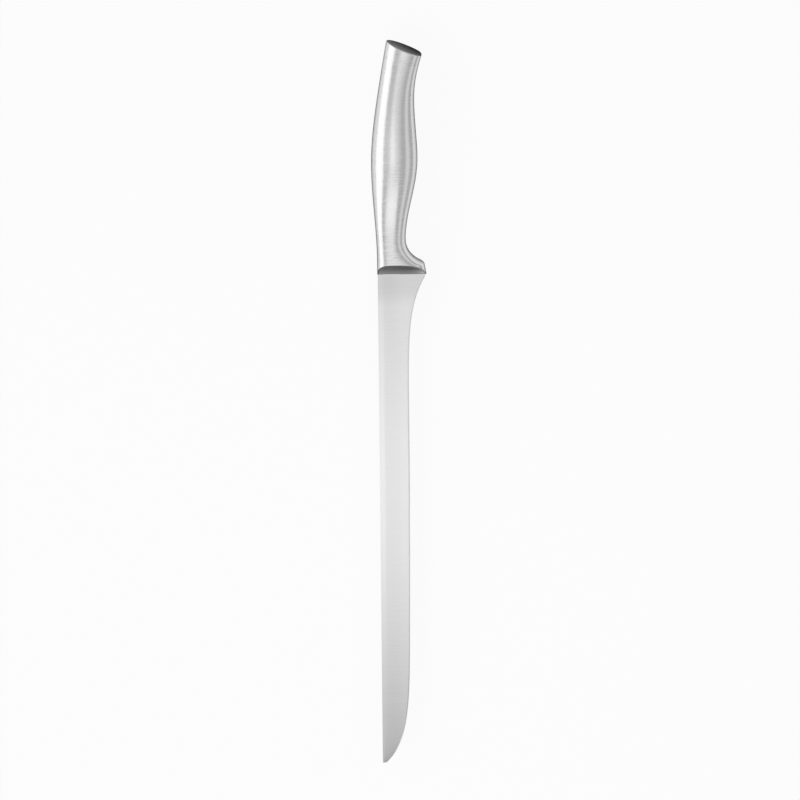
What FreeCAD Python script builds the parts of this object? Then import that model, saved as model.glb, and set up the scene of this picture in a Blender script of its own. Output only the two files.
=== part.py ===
import FreeCAD, Part
import math
import os

import Sketcher

# Carving knife with a hollow steel handle, lying on its side.
# X runs along the spine of the blade towards the tip, Y from the spine towards the cutting edge, and Z
# through the thickness. The origin is on the middle plane, where the spine of the blade leaves the bolster.

# Driving dimensions, in millimetres, and angles, in degrees
SIZES = {
    # Blade, forward of the bolster
    "blade_length": 281.1,
    "blade_depth": 16.45,
    "blade_thickness": 2.0,
    "spine_flat": 3.0,
    "ricasso_length": 1.2,
    "heel_depth": 26.05,
    "heel_sweep": 99.0,
    "tip_run": 150.7,
    "edge_bevel": 0.7,
    "edge_shoulder": 0.5,
    # Tang, behind the foot of the bolster
    "tang_length": 64.0,
    "tang_depth": 9.0,
    "tang_clearance": 0.1,
    # Handle, as depths below the line of the spine and distances behind the foot of the bolster
    "handle_length": 129.3,
    "guard_depth": 26.7,
    "guard_run": 6.0,
    "guard_fall": 1.05,
    "guard_rounding": 3.0,
    "hollow_run": 13.8,
    "hollow_depth": 14.5,
    "waist_run": 19.8,
    "waist_depth": 15.5,
    "swell_run": 66.0,
    "swell_depth": 22.4,
    "flare_run": 30.0,
    "flare_depth": 20.9,
    "butt_depth": 26.8,
    "back_proud": 0.26,
    "back_run": 7.3,
    "crest_run": 62.4,
    "back_rise": 3.03,
    "back_drop": 5.25,
    "front_thickness": 14.4,
    "swell_thickness": 18.4,
    "butt_thickness": 14.0,
    "butt_slant": 23.0,
    "shell_wall": 0.7,
    "rim_radius": 0.6,
    # Bolster and end cap, both plugs in the mouths of the shells
    "plug_clearance": 0.05,
    "slope_run": 6.88,
    "bolster_length": 26.0,
    "cap_thickness": 2.5,
    # Balance weight on the tail of the tang
    "weight_diameter": 11.0,
    "weight_length": 50.0,
    "weight_slot": 21.0,
    # Pins
    "bolster_pin_diameter": 3.0,
    "bolster_pin_length": 9.0,
    "bolster_pin_spacing": 8.0,
    "weight_pin_diameter": 3.0,
    "weight_pin_length": 10.0,
    "pin_clearance": 0.05,
    # Reach of every cutting block past what it cuts
    "overrun": 5.0,
}

# How far along the sweep of the heel each section of the blade stands
HEEL_STATION_SHARES = (0.07, 0.14, 0.22, 0.31, 0.42, 0.56, 0.75, 1)
HEEL_CURVE_POWER = 6
# Part of its depth that the blade loses evenly along the tip run, and how the tip itself rounds off
TIP_TAPER_SHARE = 0.088
TIP_CURVE_POWER = 9.5
TIP_CURVE_ROOT = 0.8
# Part of that curve that is left where the blunt nose cuts it off, and the thickness left there
TIP_REACH_SHARE = 0.9905
TIP_THICKNESS_SHARE = 0.5
# How far along the tip run each section stands, evenly at first and closer as the tip rounds off
TIP_STATION_SHARES = (0, 0.14, 0.28, 0.41, 0.53, 0.63, 0.715, 0.785, 0.843, 0.89, 0.928, 0.958, 0.981, 1)
# How far along the handle each section stands, closest where the guard sweeps out
HANDLE_STATION_SHARES = (
    (-0.03, 0, 0.02, 0.035, 0.043, 0.05, 0.058, 0.068, 0.082, 0.1, 0.125, 0.153)
    + (0.2, 0.26, 0.33, 0.41, 0.5, 0.6, 0.7, 0.8, 0.91, 1.08)
)
# The same for the inside, where straight runs from section to section are enough
INSIDE_STATION_SHARES = (
    (-0.03, 0.03, 0.042, 0.05, 0.058, 0.07, 0.088, 0.115, 0.153)
    + (0.24, 0.33, 0.42, 0.51, 0.6, 0.7, 0.8, 0.91, 1.08)
)
# Step over which the slope of the belly is taken
SLOPE_STEP_SHARE = 0.002
# How gently the back bends behind its crest
BACK_BEND_SHARE = 0.42
# How square the oval section is towards the back and the belly, and how far down its crown lies, at the
# front, the swell and the butt of the handle
BACK_FULLNESS_SHARES = (0.8, 0.62, 0.6)
BELLY_FULLNESS_SHARES = (0.65, 0.65, 0.72)
CROWN_SHARES = (0.57, 0.5, 0.51)
# How square the guard is, and how far the crown follows it outwards
GUARD_FULLNESS_SHARE = 0.79
GUARD_CROWN_SHARE = 0.05
# How near the face of the butt an edge lies, as part of the rim's radius, to belong to the rim
RIM_NEARNESS_SHARE = 0.01
RIM_TEST_POINTS = 5

document = FreeCAD.newDocument("carving_knife")
sheet = document.addObject("Spreadsheet::Sheet", "Sizes")
for row, (size_name, size_value) in enumerate(SIZES.items(), start=1):
    sheet.set("A%d" % row, size_name)
    sheet.set("B%d" % row, str(size_value))
    sheet.setAlias("B%d" % row, size_name)
document.recompute()


def size(name):
    return float(sheet.get(name))


# Helpers for bound sketches and solids


def bind(thing, **expressions):
    """Binds properties of an object to expressions, a double underscore standing for a dot."""
    for name, expression in expressions.items():
        thing.setExpression(name.replace("__", "."), expression)


def sketch_on(body, name, role):
    plane = [feature for feature in body.Origin.OriginFeatures if feature.Role == role][0]
    sketch = body.newObject("Sketcher::SketchObject", name)
    sketch.AttachmentSupport = [(plane, "")]
    sketch.MapMode = "FlatFace"
    return sketch


def draw_polygon(sketch, corners):
    """Closed polygon whose corners are pairs of expressions, each corner bound to its pair."""
    points = [FreeCAD.Vector(*map(sketch.evalExpression, corner), 0) for corner in corners]
    for start, end in zip(points, points[1:] + points[:1]):
        sketch.addGeometry(Part.LineSegment(start, end))
    for line, (across, up) in enumerate(corners):
        following = (line + 1) % len(corners)
        sketch.addConstraint(Sketcher.Constraint("Coincident", line, 2, following, 1))
        hold_point(sketch, line, "DistanceX", -2, across)
        hold_point(sketch, line, "DistanceY", -1, up)


def hold_point(sketch, line, kind, axis, expression):
    """Ties the first point of a line to the origin, or to an axis where its distance is nothing."""
    distance = sketch.evalExpression(expression)
    if distance == 0:
        sketch.addConstraint(Sketcher.Constraint("PointOnObject", line, 1, axis))
        return
    number = sketch.addConstraint(Sketcher.Constraint(kind, -1, 1, line, 1, distance))
    sketch.setExpression("Constraints[%d]" % number, expression)


def pad_both_ways(body, name, sketch, length):
    pad = body.newObject("PartDesign::Pad", name)
    pad.Profile = sketch
    pad.Midplane = True
    bind(pad, Length=length)
    return pad


def block(name, low, high):
    """Box between two corners, each given as three expressions."""
    box = document.addObject("Part::Box", name)
    bind(box, Placement__Base__x=low[0], Placement__Base__y=low[1], Placement__Base__z=low[2])
    bind(box, Length="(%s) - (%s)" % (high[0], low[0]))
    bind(box, Width="(%s) - (%s)" % (high[1], low[1]))
    bind(box, Height="(%s) - (%s)" % (high[2], low[2]))
    return box


def round_bar(name, diameter, length, centre):
    """Cylinder along Z, centred on the middle plane at a place given as two expressions."""
    bar = document.addObject("Part::Cylinder", name)
    bind(bar, Radius="(%s) / 2" % diameter, Height=length)
    bind(bar, Placement__Base__x=centre[0], Placement__Base__y=centre[1])
    bind(bar, Placement__Base__z="-(%s) / 2" % length)
    return bar


def combine(kind, name, base, tool):
    result = document.addObject("Part::%s" % kind, name)
    result.Base = base
    result.Tool = tool
    return result


# Places that several pieces share

TANG_BACK = "(Sizes.waist_depth - Sizes.back_proud - Sizes.tang_depth) / 2"
TANG_MIDDLE = "(Sizes.waist_depth - Sizes.back_proud) / 2"
BOLSTER_PIN_PLACES = [
    ("-Sizes.bolster_length / 2 - Sizes.slope_run / 2 %s Sizes.bolster_pin_spacing / 2" % side, TANG_MIDDLE)
    for side in ("+", "-")
]
WEIGHT_FRONT = "Sizes.weight_slot - Sizes.tang_length"
WEIGHT_PIN_PLACE = ("Sizes.weight_slot / 2 - Sizes.tang_length", TANG_MIDDLE)


# Blade: blanked with its tang from one strip, then ground from the flat along the spine down to the edge


def blade_section(body, name, along, depth, narrowing, thinning):
    """Ground section of the blade: flat at the spine, straight flanks and a sharpened edge."""
    sketch = sketch_on(body, name, "YZ_Plane")
    bind(sketch, AttachmentOffset__Base__z=along)
    flat = "Sizes.spine_flat * %.6f" % narrowing
    shoulder = "%s - Sizes.edge_bevel * %.6f" % (depth, narrowing)
    half_spine = "Sizes.blade_thickness / 2 * %.6f" % thinning
    half_shoulder = "Sizes.edge_shoulder / 2 * %.6f" % thinning
    corners = [("0", half_spine), (flat, half_spine), (shoulder, half_shoulder), (depth, "0")]
    mirrored = [(across, "-%s" % up) for across, up in reversed(corners[:-1])]
    draw_polygon(sketch, corners + mirrored)
    return sketch


def heel_depth_at(along_share):
    sweep_share = (1 - along_share) ** HEEL_CURVE_POWER
    return "Sizes.blade_depth + (Sizes.heel_depth - Sizes.blade_depth) * %.6f" % sweep_share


def heel_sections(body):
    """Sections from the ricasso to the end of the sweep, where the edge runs parallel to the spine."""
    sections = []
    for number, share in enumerate((0,) + HEEL_STATION_SHARES):
        along = "Sizes.ricasso_length + Sizes.heel_sweep * %.6f" % share
        sections.append(blade_section(body, "heel_%d" % number, along, heel_depth_at(share), 1, 1))
    return sections


def tip_sections(body):
    """Sections from the end of the straight edge to the blunt nose."""
    sections = []
    for number, share in enumerate(TIP_STATION_SHARES):
        rounding = (1 - (share * TIP_REACH_SHARE) ** TIP_CURVE_POWER) ** TIP_CURVE_ROOT
        narrowing = rounding * (1 - TIP_TAPER_SHARE * share)
        thinning = 1 - (1 - TIP_THICKNESS_SHARE) * share**2
        along = "Sizes.blade_length - Sizes.tip_run * %.6f" % (1 - share)
        depth = "Sizes.blade_depth * %.6f" % narrowing
        sections.append(blade_section(body, "tip_%d" % number, along, depth, narrowing, thinning))
    return sections


def loft_through(body, name, sections, ruled):
    document.recompute()
    loft = body.newObject("PartDesign::AdditiveLoft", name)
    loft.Profile = sections[0]
    loft.Sections = sections[1:]
    loft.Ruled = ruled
    return loft


def make_blade():
    body = document.addObject("PartDesign::Body", "blade")
    blank = sketch_on(body, "blank", "XY_Plane")
    tang_edge = "%s + Sizes.tang_depth" % TANG_BACK
    draw_polygon(
        blank,
        [
            ("0", "0"),
            ("Sizes.ricasso_length", "0"),
            ("Sizes.ricasso_length", "Sizes.heel_depth"),
            ("0", "Sizes.heel_depth"),
            ("0", tang_edge),
            ("-Sizes.tang_length", tang_edge),
            ("-Sizes.tang_length", TANG_BACK),
            ("0", TANG_BACK),
        ],
    )
    pad_both_ways(body, "tang_and_ricasso", blank, "Sizes.blade_thickness")
    heel = heel_sections(body)
    tip = tip_sections(body)
    loft_through(body, "heel", heel, False)
    loft_through(body, "straight", [heel[-1], tip[0]], True)
    loft_through(body, "tip", tip, False)
    drill_tang(body)
    return body


def drill_tang(body):
    """Holes through the tang for the bolster's pins and the weight's pin."""
    document.recompute()
    holes = sketch_on(body, "pin_holes", "XY_Plane")
    pins = [(place, "Sizes.bolster_pin_diameter") for place in BOLSTER_PIN_PLACES]
    pins.append((WEIGHT_PIN_PLACE, "Sizes.weight_pin_diameter"))
    for number, (place, diameter) in enumerate(pins):
        centre = FreeCAD.Vector(*map(holes.evalExpression, place), 0)
        radius = "%s / 2 + Sizes.pin_clearance" % diameter
        holes.addGeometry(Part.Circle(centre, FreeCAD.Vector(0, 0, 1), holes.evalExpression(radius)))
        for kind, position in (("DistanceX", centre.x), ("DistanceY", centre.y)):
            held = holes.addConstraint(Sketcher.Constraint(kind, -1, 1, number, 3, position))
            holes.setExpression("Constraints[%d]" % held, place[0] if kind == "DistanceX" else place[1])
        held = holes.addConstraint(Sketcher.Constraint("Radius", number, holes.evalExpression(radius)))
        holes.setExpression("Constraints[%d]" % held, radius)
    document.recompute()
    pocket = body.newObject("PartDesign::Pocket", "pin_bores")
    pocket.Profile = holes
    pocket.Type = "ThroughAll"
    pocket.Midplane = True


# Form of the handle: oval sections along two outlines, the back and the belly


def smooth_step(share):
    return share * share * (3 - 2 * share)


def share_between(distance, start, end):
    return min(max((distance - start) / (end - start), 0), 1)


def mix(start, end, share):
    return start + (end - start) * share


def back_at(distance):
    """Depth of the back below the line of the spine, negative where it stands proud of it."""
    crest = size("crest_run")
    if distance < crest:
        share = share_between(distance, size("back_run"), crest)
        return -mix(size("back_proud"), size("back_rise"), smooth_step(share))
    share = (distance - crest) / (size("handle_length") - crest)
    bend = math.hypot(BACK_BEND_SHARE, share) - BACK_BEND_SHARE
    full_bend = math.hypot(BACK_BEND_SHARE, 1) - BACK_BEND_SHARE
    return mix(-size("back_rise"), size("back_drop"), bend / full_bend)


def guard_at(distance):
    """Depth of the belly ahead of the waist: the finger hollow, cut off by the side of the guard."""
    reach = share_between(distance, size("waist_run"), size("waist_run") - size("hollow_run"))
    hollow = size("waist_depth") + size("hollow_depth") * (1 - math.sqrt(1 - reach**2))
    side = size("guard_depth") - size("guard_fall") * distance / size("guard_run")
    rounding = size("guard_rounding")
    overlap = max(rounding - abs(hollow - side), 0)
    return min(hollow, side) - overlap**2 / rounding / 4


def belly_at(distance):
    """Depth of the belly: guard, waist, swell, a second slight waist and the flare of the butt."""
    waist, swell = size("waist_run"), size("swell_run")
    flare = size("handle_length") - size("flare_run")
    if distance < waist:
        return guard_at(distance)
    if distance < swell:
        share = share_between(distance, waist, swell)
        return mix(size("waist_depth"), size("swell_depth"), smooth_step(share))
    if distance < flare:
        share = share_between(distance, swell, flare)
        return mix(size("swell_depth"), size("flare_depth"), smooth_step(share))
    share = (distance - flare) / size("flare_run")
    return mix(size("flare_depth"), size("butt_depth"), share**2)


def belly_steepness(distance):
    """How much longer a step along the belly is than the same step along the handle."""
    step = size("handle_length") * SLOPE_STEP_SHARE
    fall = belly_at(distance + step) - belly_at(distance - step)
    return math.hypot(2 * step, fall) / (2 * step)


def along_handle(distance, front, swell, butt):
    """Value that holds as far as the waist, and then passes through the swell to the butt."""
    if distance < size("swell_run"):
        share = share_between(distance, size("waist_run"), size("swell_run"))
        return mix(front, swell, smooth_step(share))
    share = share_between(distance, size("swell_run"), size("handle_length"))
    return mix(swell, butt, smooth_step(share))


def quarter_poles(outer, crown, fullness):
    """Poles of a quarter oval, square to the middle plane at its outer point and level at its crown."""
    rise = FreeCAD.Vector(0, 0, crown.z)
    return [outer, outer + rise * fullness, crown - (crown - outer - rise) * fullness, crown]


def handle_quarters(distance, inset):
    """Four quarters of the section, from the back and from the belly to the crown of each side."""
    back = back_at(distance) + inset
    belly = belly_at(distance) - inset * belly_steepness(distance)
    thicknesses = [size("%s_thickness" % place) for place in ("front", "swell", "butt")]
    half = along_handle(distance, *thicknesses) / 2 - inset
    back_fullness = along_handle(distance, *BACK_FULLNESS_SHARES)
    guard_share = smooth_step(share_between(distance, size("waist_run"), size("guard_run")))
    belly_fullness = mix(along_handle(distance, *BELLY_FULLNESS_SHARES), GUARD_FULLNESS_SHARE, guard_share)
    waist = size("waist_depth") - inset if distance < size("waist_run") else belly
    crown = mix(back, waist, along_handle(distance, *CROWN_SHARES)) + (belly - waist) * GUARD_CROWN_SHARE
    back_point, belly_point = (FreeCAD.Vector(-distance, depth, 0) for depth in (back, belly))
    left, right = (FreeCAD.Vector(-distance, crown, height) for height in (half, -half))
    return [
        quarter_poles(back_point, left, back_fullness),
        quarter_poles(belly_point, left, belly_fullness),
        quarter_poles(belly_point, right, belly_fullness),
        quarter_poles(back_point, right, back_fullness),
    ]


def skin(distances, rows):
    """Smooth face through rows of poles, each row at its own distance."""
    lines = []
    for column in zip(*rows):
        line = Part.BSplineCurve()
        line.interpolate(Points=list(column), Parameters=distances)
        lines.append(line)
    ends = [len(lines), len(lines)]
    poles = [line.getPoles() for line in lines]
    steps, knots = lines[0].getMultiplicities(), lines[0].getKnots()
    surface = Part.BSplineSurface()
    degrees = (len(lines) - 1, lines[0].Degree)
    surface.buildFromPolesMultsKnots(poles, ends, steps, [0, 1], knots, False, False, *degrees)
    return surface.toShape()


def section_wire(quarters):
    edges = []
    for poles in quarters:
        curve = Part.BezierCurve()
        curve.setPoles(poles)
        edges.append(curve.toShape())
    return Part.Wire(Part.sortEdges(edges)[0])


def handle_outside(name):
    """Smooth closed form of the handle."""
    distances = [size("handle_length") * share for share in HANDLE_STATION_SHARES]
    sections = [handle_quarters(distance, 0) for distance in distances]
    faces = [skin(distances, rows) for rows in zip(*sections)]
    faces += [Part.Face(section_wire(sections[0])), Part.Face(section_wire(sections[-1]))]
    shell = Part.makeShell(faces)
    shell.sewShape()
    solid = Part.makeSolid(shell)
    if solid.Volume < 0:
        solid.reverse()
    form = document.addObject("Part::Feature", name)
    form.Shape = solid
    return form


def handle_inside(name, inset):
    """Form that follows the handle's at a distance inside it."""
    distances = [size("handle_length") * share for share in INSIDE_STATION_SHARES]
    wires = [section_wire(handle_quarters(distance, inset)) for distance in distances]
    form = document.addObject("Part::Feature", name)
    form.Shape = Part.makeLoft(wires, True, True)
    return form


# Blocks that trim the forms


def front_block():
    """Space behind the two slopes, which climb from the faces of the blade to the sides of the handle."""
    body = document.addObject("PartDesign::Body", "front_space")
    sketch = sketch_on(body, "slopes", "XZ_Plane")
    foot = "Sizes.blade_thickness / 2"
    twice_run = "-Sizes.slope_run * 2"
    top = "Sizes.front_thickness - Sizes.blade_thickness / 2"
    end = "-Sizes.handle_length - Sizes.butt_thickness - Sizes.overrun"
    upper = [("0", foot), (twice_run, top), (end, top)]
    lower = [(along, "-(%s)" % up) for along, up in reversed(upper)]
    draw_polygon(sketch, upper + lower)
    pad_both_ways(body, "space", sketch, "Sizes.guard_depth * 4")
    return body


def butt_slab(name, near, far):
    """Slab parallel to the slanted face of the butt, between two distances ahead of that face."""
    slab = document.addObject("Part::Box", name)
    middle = "(Sizes.back_drop + Sizes.butt_depth) / 2"
    reach = "Sizes.butt_depth * 2"
    bind(slab, Length="(%s) - (%s)" % (far, near), Width=reach, Height=reach)
    slab.Placement = FreeCAD.Placement(FreeCAD.Vector(), FreeCAD.Rotation(FreeCAD.Vector(0, 0, -1), 0))
    bind(slab, Placement__Rotation__Angle="Sizes.butt_slant")
    sine = "sin(Sizes.butt_slant)"
    cosine = "cos(Sizes.butt_slant)"
    side = "%s / 2" % reach
    ahead = "(%s) * %s - (%s) * %s" % (near, cosine, side, sine)
    bind(slab, Placement__Base__x="%s - Sizes.handle_length" % ahead)
    bind(slab, Placement__Base__y="%s - (%s) * %s - (%s) * %s" % (middle, near, sine, side, cosine))
    bind(slab, Placement__Base__z="-(%s)" % side)
    return slab


# Handle shells: two pressed halves that meet along the back and the belly


def round_butt(solid):
    """Rounds the edge that runs round the slanted face of the butt."""
    document.recompute()
    slant = math.radians(size("butt_slant"))
    outward = FreeCAD.Vector(-math.cos(slant), math.sin(slant), 0)
    centre = FreeCAD.Vector(-size("handle_length"), (size("back_drop") + size("butt_depth")) / 2, 0)
    radius = size("rim_radius")
    rim = []
    for number, edge in enumerate(solid.Shape.Edges, start=1):
        heights = [abs((point - centre).dot(outward)) for point in edge.discretize(RIM_TEST_POINTS)]
        if max(heights) < radius * RIM_NEARNESS_SHARE:
            rim.append((number, radius, radius))
    rounded = document.addObject("Part::Fillet", "handle_rounded")
    rounded.Base = solid
    rounded.Edges = rim
    return rounded


def make_shells(outer, bore, front, behind_butt):
    sloped = combine("Common", "handle_sloped", outer, front)
    solid = combine("Cut", "handle_solid", sloped, behind_butt)
    hollow = combine("Cut", "handle_hollow", round_butt(solid), bore)
    reach = "Sizes.handle_length * 2"
    low_corner = ("-%s" % reach, "-%s" % reach)
    high_corner = (reach, reach)
    left_space = block("left_space", low_corner + ("0",), high_corner + (reach,))
    right_space = block("right_space", low_corner + ("-%s" % reach,), high_corner + ("0",))
    left = combine("Common", "handle_shell_left", hollow, left_space)
    right = combine("Common", "handle_shell_right", hollow, right_space)
    return left, right


# Bolster: plug in the front mouth, slotted for the tang and drilled for its pins


def make_bolster(plug, front):
    sloped = combine("Common", "bolster_sloped", plug, front)
    reach = "Sizes.guard_depth * 2"
    back_corner = ("-Sizes.bolster_length", "-%s" % reach, "-%s" % reach)
    room = block("bolster_room", back_corner, ("0", reach, reach))
    bolster = combine("Common", "bolster_plug", sloped, room)
    gap = "Sizes.tang_clearance"
    half_slot = "Sizes.blade_thickness / 2 + %s" % gap
    tang_edge = "%s + Sizes.tang_depth" % TANG_BACK
    slot = block(
        "tang_slot",
        ("-Sizes.bolster_length - Sizes.overrun", "%s - %s" % (TANG_BACK, gap), "-(%s)" % half_slot),
        ("Sizes.overrun", "%s + %s" % (tang_edge, gap), half_slot),
    )
    bolster = combine("Cut", "bolster_slotted", bolster, slot)
    for number, place in enumerate(BOLSTER_PIN_PLACES):
        diameter = "Sizes.bolster_pin_diameter + Sizes.pin_clearance * 2"
        bore = round_bar("bolster_bore_%d" % number, diameter, "Sizes.front_thickness * 2", place)
        bolster = combine("Cut", "bolster_drilled_%d" % number, bolster, bore)
    return bolster


def make_bolster_pins():
    pins = document.addObject("Part::Compound", "bolster_pins")
    diameter, length = "Sizes.bolster_pin_diameter", "Sizes.bolster_pin_length"
    pins.Links = [
        round_bar("bolster_pin_%d" % number, diameter, length, place)
        for number, place in enumerate(BOLSTER_PIN_PLACES)
    ]
    return pins


# Balance weight: round bar, slotted over the tail of the tang and pinned to it


def make_weight_pin():
    return round_bar("weight_pin", "Sizes.weight_pin_diameter", "Sizes.weight_pin_length", WEIGHT_PIN_PLACE)


def make_weight():
    bar = document.addObject("Part::Cylinder", "weight_bar")
    bar.Placement = FreeCAD.Placement(FreeCAD.Vector(), FreeCAD.Rotation(FreeCAD.Vector(0, -1, 0), 90))
    bind(bar, Radius="Sizes.weight_diameter / 2", Height="Sizes.weight_length")
    bind(bar, Placement__Base__x=WEIGHT_FRONT, Placement__Base__y=TANG_MIDDLE)
    gap = "Sizes.tang_clearance"
    half_slot = "Sizes.blade_thickness / 2 + %s" % gap
    side = "Sizes.weight_diameter"
    slot = block(
        "weight_slot_space",
        ("-Sizes.tang_length - %s" % gap, "%s - %s" % (TANG_MIDDLE, side), "-(%s)" % half_slot),
        ("%s + Sizes.overrun" % WEIGHT_FRONT, "%s + %s" % (TANG_MIDDLE, side), half_slot),
    )
    slotted = combine("Cut", "weight_slotted", bar, slot)
    diameter = "Sizes.weight_pin_diameter + Sizes.pin_clearance * 2"
    bore = round_bar("weight_bore", diameter, "Sizes.weight_diameter * 2", WEIGHT_PIN_PLACE)
    return combine("Cut", "balance_weight", slotted, bore)


# The whole knife

outer_form = handle_outside("handle_outer_form")
bore_form = handle_inside("handle_bore_form", size("shell_wall"))
plug_form = handle_inside("handle_plug_form", size("shell_wall") + size("plug_clearance"))
front_space = front_block()
behind_butt = butt_slab("behind_butt", "-Sizes.butt_depth", "0")
cap_space = butt_slab("cap_space", "0", "Sizes.cap_thickness")

left_shell, right_shell = make_shells(outer_form, bore_form, front_space, behind_butt)
pieces = {
    "blade": make_blade(),
    "bolster": make_bolster(plug_form, front_space),
    "bolster_pins": make_bolster_pins(),
    "handle_shell_left": left_shell,
    "handle_shell_right": right_shell,
    "end_cap": combine("Common", "end_cap", plug_form, cap_space),
    "balance_weight": make_weight(),
    "weight_pin": make_weight_pin(),
}
for label, piece in pieces.items():
    piece.Label = label
document.recompute()

for thing in document.Objects:
    if "Invalid" in thing.State or "Error" in thing.State:
        raise RuntimeError("%s failed: %s" % (thing.Name, thing.getStatusString()))
for label, piece in pieces.items():
    if piece.Shape.isNull() or not piece.Shape.isValid():
        raise RuntimeError("%s has no valid shape" % label)

os.makedirs("parts", exist_ok=True)
for label, piece in pieces.items():
    piece.Shape.exportStep("parts/%s.step" % label)
    print(label, len(piece.Shape.Solids), "solids,", round(piece.Shape.Volume), "cubic millimetres")
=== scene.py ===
import math

import bmesh
import bpy
from mathutils import Matrix, Vector


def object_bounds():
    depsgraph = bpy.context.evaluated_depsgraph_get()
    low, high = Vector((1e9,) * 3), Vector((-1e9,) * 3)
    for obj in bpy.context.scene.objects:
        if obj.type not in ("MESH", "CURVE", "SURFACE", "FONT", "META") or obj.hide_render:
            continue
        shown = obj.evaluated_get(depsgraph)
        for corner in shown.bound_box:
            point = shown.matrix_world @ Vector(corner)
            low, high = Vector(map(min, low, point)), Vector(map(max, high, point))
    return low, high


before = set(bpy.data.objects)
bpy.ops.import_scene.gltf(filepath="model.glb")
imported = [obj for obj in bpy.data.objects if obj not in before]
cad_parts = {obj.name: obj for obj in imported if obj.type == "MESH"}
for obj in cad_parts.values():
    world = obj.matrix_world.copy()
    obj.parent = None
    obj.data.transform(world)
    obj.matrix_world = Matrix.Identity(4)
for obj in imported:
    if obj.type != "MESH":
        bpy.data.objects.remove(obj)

cad_low, cad_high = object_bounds()

# Blade
# One strip of stainless steel, blanked with its tang and ground from a narrow flat along the spine down to
# the edge. The belt runs across it, so fine lines cross the blade. Painted shade darkens the first
# centimetre by the bolster, and painted light makes the edge side a little lighter. The sharpened bevel is
# brighter and smoother.


class Shade:
    """A value in a material's node tree: sums on it add Math nodes, and make adds any other node."""

    def __init__(self, tree, socket=None):
        self.tree = tree
        self.socket = socket

    def make(self, kind, inputs=None, output=0, **settings):
        """New node of a kind, with its settings and the values or links of its sockets."""
        node = self.tree.nodes.new(kind)
        for name, value in settings.items():
            setattr(node, name, value)
        for name, value in (inputs or {}).items():
            if isinstance(value, Shade):
                self.tree.links.new(value.socket, node.inputs[name])
            else:
                node.inputs[name].default_value = value
        return Shade(self.tree, node.outputs[output]) if node.outputs else None

    def sum(self, operation, first, second):
        return self.make("ShaderNodeMath", {0: first, 1: second}, operation=operation)

    def __add__(self, other):
        return self.sum("ADD", self, other)

    def __sub__(self, other):
        return self.sum("SUBTRACT", self, other)

    def __mul__(self, other):
        return self.sum("MULTIPLY", self, other)

    __radd__ = __add__
    __rmul__ = __mul__


def new_tree(thing):
    """Empty node tree of a material or a world."""
    thing.use_nodes = True
    thing.node_tree.nodes.clear()
    return Shade(thing.node_tree)


def grey(level):
    return (level, level, level, 1)


def place_along(shade, axis):
    """Coordinate of the piece's own frame along X, Y or Z."""
    place = shade.make("ShaderNodeTexCoord", output="Object")
    return shade.make("ShaderNodeSeparateXYZ", {"Vector": place}, output=axis)


def height_over_middle(shade):
    """Distance from the middle plane, on either side of it."""
    return shade.make("ShaderNodeMath", {0: place_along(shade, "Z")}, operation="ABSOLUTE")


def ramp_between(shade, value, start, end):
    """Mask that rises smoothly from nothing at the start to full at the end."""
    inputs = {"Value": value, "From Min": start, "From Max": end}
    return shade.make("ShaderNodeMapRange", inputs, interpolation_type="SMOOTHSTEP")


def cross_lines(shade, width, length):
    """Noise around zero, drawn out into lines that cross the piece, of about this width and length."""
    place = shade.make("ShaderNodeTexCoord", output="Object")
    stretch = (1 / width, 1 / length, 1 / length)
    stretched = shade.make("ShaderNodeMapping", {"Vector": place, "Scale": stretch})
    noise = shade.make("ShaderNodeTexNoise", {"Vector": stretched, "Scale": 1, "Detail": LINE_DETAIL})
    return noise - NOISE_MIDDLE


def steel_surface(shade, lines, level, roughness, edge_tint):
    """Bare metal with fine raised lines, a grey level, a roughness and a level at grazing angles."""
    bump = shade.make("ShaderNodeBump", {"Strength": 1, "Distance": STEEL_LINE_DEPTH, "Height": lines})
    inputs = {"Base Color": level, "Metallic": 1, "Roughness": roughness, "Normal": bump}
    inputs["Specular Tint"] = grey(edge_tint)
    shade.make("ShaderNodeOutputMaterial", {"Surface": shade.make("ShaderNodeBsdfPrincipled", inputs)})


LINE_DETAIL = 2
NOISE_MIDDLE = 0.5
STEEL_LINE_DEPTH = 0.000002
BLADE_LEVEL = 0.72
BLADE_ROUGHNESS = 0.3
BLADE_EDGE_TINT = 0.5
BLADE_LINE_WIDTH = 0.0005
BLADE_LINE_LENGTH = 0.02
BLADE_LINE_CONTRAST = 0.08
# Painted light makes the edge side of the blade a little lighter, and painted shade darkens the heel by the
# bolster.
EDGE_PAINTED_LIGHT = 0.04
EDGE_DEPTHS = (0.006, 0.0155)
HEEL_PAINTED_SHADE = 0.09
HEEL_PLACES = (0.02, 0.008)
BEVEL_GLOSS = 0.1
BEVEL_TILTS = (0.15, 0.3)

blade_steel = bpy.data.materials.new("blade_steel")
shade = new_tree(blade_steel)
lines = cross_lines(shade, BLADE_LINE_WIDTH, BLADE_LINE_LENGTH)
facing = shade.make("ShaderNodeTexCoord", output="Normal")
tilt = shade.make("ShaderNodeSeparateXYZ", {"Vector": facing}, output="Y")
bevel = ramp_between(shade, tilt, *BEVEL_TILTS)
# Masks of the painted light on the edge side and of the painted shade at the heel.
edge_side = ramp_between(shade, place_along(shade, "Y"), *EDGE_DEPTHS)
painted_heel_shade = ramp_between(shade, place_along(shade, "X"), *HEEL_PLACES)
steel_surface(
    shade,
    lines,
    BLADE_LEVEL + BLADE_LINE_CONTRAST * lines + EDGE_PAINTED_LIGHT * edge_side - HEEL_PAINTED_SHADE * painted_heel_shade,
    BLADE_ROUGHNESS + BLADE_LINE_CONTRAST * lines - BEVEL_GLOSS * bevel,
    BLADE_EDGE_TINT,
)
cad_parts["blade"].material_slots[0].material = blade_steel

# Bolster
# Steel plug in the front mouth of the handle, slotted for the tang. Its two sloping faces are painted dark
# as shade, darkest towards the finger guard, and a painted reflection lightens them where they run out on
# the blade.

# The dark grey of the sloping faces is painted shade. The lighter foot is a painted reflection, and the
# darker guard end is painted shade.
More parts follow.
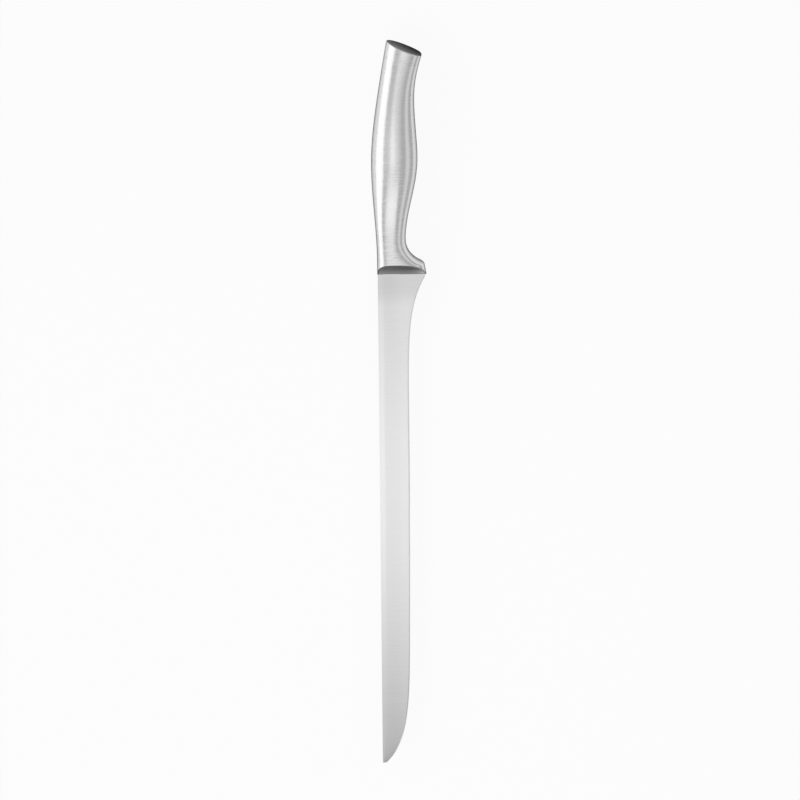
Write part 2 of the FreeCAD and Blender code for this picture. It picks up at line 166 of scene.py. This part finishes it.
PAINTED_SHADE_LEVEL = 0.33
DARK_ROUGHNESS = 0.35
DARK_EDGE_TINT = 0.1
DARK_LINE_CONTRAST = 0.06
FOOT_PAINTED_REFLECTION = 0.42
FOOT_HEIGHTS = (0.0055, 0.001)
GUARD_PAINTED_SHADE = 0.13
GUARD_DEPTHS = (0.006, 0.021)

dark_steel = bpy.data.materials.new("dark_steel")
shade = new_tree(dark_steel)
lines = cross_lines(shade, BLADE_LINE_WIDTH, BLADE_LINE_LENGTH)
# Masks of the painted reflection at the foot and of the painted shade towards the finger guard.
painted_foot_reflection = ramp_between(shade, height_over_middle(shade), *FOOT_HEIGHTS)
painted_guard_shade = ramp_between(shade, place_along(shade, "Y"), *GUARD_DEPTHS)
steel_surface(
    shade,
    lines,
    PAINTED_SHADE_LEVEL + DARK_LINE_CONTRAST * lines + FOOT_PAINTED_REFLECTION * painted_foot_reflection - GUARD_PAINTED_SHADE * painted_guard_shade,
    DARK_ROUGHNESS + DARK_LINE_CONTRAST * lines,
    DARK_EDGE_TINT,
)
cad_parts["bolster"].material_slots[0].material = dark_steel

# Bolster pins
# Two turned steel pins through bolster and tang, which keep the blade from drawing out. The shells hide
# them, so they are left as they come off the lathe.

PLAIN_LEVEL = 0.48
PLAIN_ROUGHNESS = 0.4
TURNING_CONTRAST = 0.15
TURNING_WIDTH = 0.0004
TURNING_LENGTH = 0.004

plain_steel = bpy.data.materials.new("plain_steel")
shade = new_tree(plain_steel)
lines = cross_lines(shade, TURNING_WIDTH, TURNING_LENGTH)
steel_surface(
    shade,
    lines,
    PLAIN_LEVEL + TURNING_CONTRAST * lines,
    PLAIN_ROUGHNESS + TURNING_CONTRAST * lines,
    BLADE_EDGE_TINT,
)
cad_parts["bolster_pins"].material_slots[0].material = plain_steel

# Balance weight
# Turned steel bar, slotted over the tail of the tang and held there by a pin. Both lie inside the handle
# and are as plain as the bolster pins.

for name in ("balance_weight", "weight_pin"):
    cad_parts[name].material_slots[0].material = plain_steel

# Handle shells
# Two pressed halves of stainless sheet, welded along the back and the belly and brushed round the handle.
# The weld is ground flush and shows as a faint dull line. The rims of both mouths are darkened with painted
# shade, like the faces they hold.

HANDLE_LEVEL = 0.75
HANDLE_ROUGHNESS = 0.24
HANDLE_EDGE_TINT = 0.15
HANDLE_LINE_CONTRAST = 0.19
HANDLE_LINE_LENGTH = 0.008
WELD_DARKENING = 0.12
WELD_HEIGHTS = (0.0002, 0.00008)
MOUTH_RISE = 0.0062
MOUTH_RUN = 0.00688
MOUTH_ANGLE = math.atan2(MOUTH_RISE, MOUTH_RUN)
MOUTH_REACHES = (0.00066, 0.0007)
BUTT_ANGLE = math.radians(23)
BUTT_REACHES = (0.12493, 0.12513)

handle_steel = bpy.data.materials.new("handle_steel")
shade = new_tree(handle_steel)
lines = cross_lines(shade, BLADE_LINE_WIDTH, HANDLE_LINE_LENGTH)
along, across = (place_along(shade, axis) for axis in "XY")
height = height_over_middle(shade)
weld = ramp_between(shade, height, *WELD_HEIGHTS)
mouth_reach = along * math.sin(MOUTH_ANGLE) + height * math.cos(MOUTH_ANGLE)
butt_reach = across * math.sin(BUTT_ANGLE) - along * math.cos(BUTT_ANGLE)
# Painted shade: the rims of both mouths are darkened to the dark grey of the faces they hold.
painted_rim_shade = ramp_between(shade, mouth_reach, *MOUTH_REACHES) + ramp_between(shade, butt_reach, *BUTT_REACHES)
steel_surface(
    shade,
    lines,
    HANDLE_LEVEL + HANDLE_LINE_CONTRAST * lines - WELD_DARKENING * weld - (HANDLE_LEVEL - PAINTED_SHADE_LEVEL) * painted_rim_shade,
    HANDLE_ROUGHNESS + HANDLE_LINE_CONTRAST * lines + WELD_DARKENING * weld,
    HANDLE_EDGE_TINT,
)
for name in ("handle_shell_left", "handle_shell_right"):
    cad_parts[name].material_slots[0].material = handle_steel

# End cap
# Steel plate, welded into the slanted mouth of the butt. Its dark grey is painted shade, and painted light
# makes it a little lighter towards the back and the upper side.

# The cap's dark grey is painted shade, and its lighter back and upper side are painted light.
CAP_LEVEL = 0.13
CAP_BACK_PAINTED_LIGHT = 0.14
CAP_BACK_DEPTHS = (0.024, 0.006)
CAP_UPPER_PAINTED_LIGHT = 0.18
CAP_UPPER_HEIGHTS = (-0.006, 0.006)

cap_steel = bpy.data.materials.new("cap_steel")
shade = new_tree(cap_steel)
lines = cross_lines(shade, BLADE_LINE_WIDTH, BLADE_LINE_LENGTH)
# Masks of the painted light towards the back and the upper side.
painted_back_light = ramp_between(shade, place_along(shade, "Y"), *CAP_BACK_DEPTHS)
painted_upper_light = ramp_between(shade, place_along(shade, "Z"), *CAP_UPPER_HEIGHTS)
steel_surface(
    shade,
    lines,
    CAP_LEVEL + CAP_BACK_PAINTED_LIGHT * painted_back_light + CAP_UPPER_PAINTED_LIGHT * painted_upper_light + DARK_LINE_CONTRAST * lines,
    DARK_ROUGHNESS + DARK_LINE_CONTRAST * lines,
    DARK_EDGE_TINT,
)
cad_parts["end_cap"].material_slots[0].material = cap_steel

# Floor
# Plain matt white floor, on which the knife lies. It is near white to the camera and in the metal, and
# keeps a faint shadow.

FLOOR_WIDTH = 60.0
FLOOR_LEVEL = 0.95
FLOOR_GLOW = 0.9

floor_form = bmesh.new()
bmesh.ops.create_grid(floor_form, x_segments=1, y_segments=1, size=FLOOR_WIDTH / 2)
bmesh.ops.translate(floor_form, verts=floor_form.verts, vec=(0, 0, cad_low.z))
floor_mesh = bpy.data.meshes.new("floor")
floor_form.to_mesh(floor_mesh)
floor_form.free()
floor = bpy.data.objects.new("floor", floor_mesh)
bpy.context.scene.collection.objects.link(floor)

floor_white = bpy.data.materials.new("floor_white")
shade = new_tree(floor_white)
matt = shade.make("ShaderNodeBsdfDiffuse", {"Color": grey(FLOOR_LEVEL)})
white = shade.make("ShaderNodeEmission", {"Color": grey(1), "Strength": 1})
seen = sum(
    shade.make("ShaderNodeLightPath", output=ray)
    for ray in ("Is Camera Ray", "Is Glossy Ray", "Is Transmission Ray")
)
glowing = shade.make("ShaderNodeMixShader", {0: FLOOR_GLOW * seen, 1: matt, 2: white})
shade.make("ShaderNodeOutputMaterial", {"Surface": glowing})
floor_mesh.materials.append(floor_white)

# Studio light
# A dim even dome, and soft boxes that lie along the knife: a large one on the side of the spine, two over
# the handle, one over the blade and a low one on the side of the edge.

DOME_LEVEL = 0.5

world = bpy.data.worlds.new("studio")
bpy.context.scene.world = world
shade = new_tree(world)
dome = shade.make("ShaderNodeBackground", {"Color": grey(1), "Strength": DOME_LEVEL})
shade.make("ShaderNodeOutputWorld", {"Surface": dome})


def softbox(name, angles, distance, span, level):
    """Panel between two angles, in degrees from overhead towards the edge, that spans two places along X."""
    first, last = map(math.radians, angles)
    outward = Vector((0, math.sin((first + last) / 2), math.cos((first + last) / 2)))
    lamp = bpy.data.lights.new(name, "AREA")
    lamp.shape = "RECTANGLE"
    lamp.size = span[1] - span[0]
    lamp.size_y = 2 * distance * math.tan((last - first) / 2)
    lamp.energy = level * math.pi * lamp.size * lamp.size_y
    panel = bpy.data.objects.new(name, lamp)
    bpy.context.scene.collection.objects.link(panel)
    along = Vector((1, 0, 0))
    turn = Matrix((along, outward.cross(along), outward)).transposed().to_4x4()
    panel.matrix_world = Matrix.Translation(along * (sum(span) / 2) + outward * distance) @ turn


softbox("spine_side", angles=(-86, -35), distance=2.5, span=(-3.4, 3.6), level=0.87)
softbox("handle_wide", angles=(-29, 17), distance=0.6, span=(0.0, 0.145), level=0.3)
softbox("handle_narrow", angles=(-11, 5), distance=0.58, span=(-0.005, 0.147), level=0.54)
softbox("blade_overhead", angles=(-18, 13), distance=0.6, span=(0.215, 0.406), level=1.1)
softbox("edge_side", angles=(36, 58), distance=0.8, span=(-0.55, 0.95), level=0.33)

# Camera
# Looks down on the left side of the knife, tilted towards the handle, with the tip at the foot of the
# picture.

IMAGE_WIDTH = 800
ORIGIN_PIXEL = (377.7, 274.0)
PIXEL_SIZE = 0.0005472
CAMERA_TILT = math.radians(17.5)
CAMERA_ROLL = math.radians(0.6)
CAMERA_DISTANCE = 20.0

towards_camera = Vector((-math.sin(CAMERA_TILT), 0, math.cos(CAMERA_TILT)))
right = Matrix.Rotation(-CAMERA_ROLL, 3, towards_camera) @ Vector((0, 1, 0))
upward = towards_camera.cross(right)
middle = IMAGE_WIDTH / 2
aim = PIXEL_SIZE * (right * (middle - ORIGIN_PIXEL[0]) - upward * (middle - ORIGIN_PIXEL[1]))
camera = bpy.data.objects.new("camera", bpy.data.cameras.new("camera"))
bpy.context.scene.collection.objects.link(camera)
camera.matrix_world = Matrix.Translation(aim + towards_camera * CAMERA_DISTANCE) @ Matrix(
    (right, upward, towards_camera)
).transposed().to_4x4()
camera.data.lens = camera.data.sensor_width * CAMERA_DISTANCE / (IMAGE_WIDTH * PIXEL_SIZE)
bpy.context.scene.camera = camera
bpy.context.scene.view_settings.view_transform = "Standard"
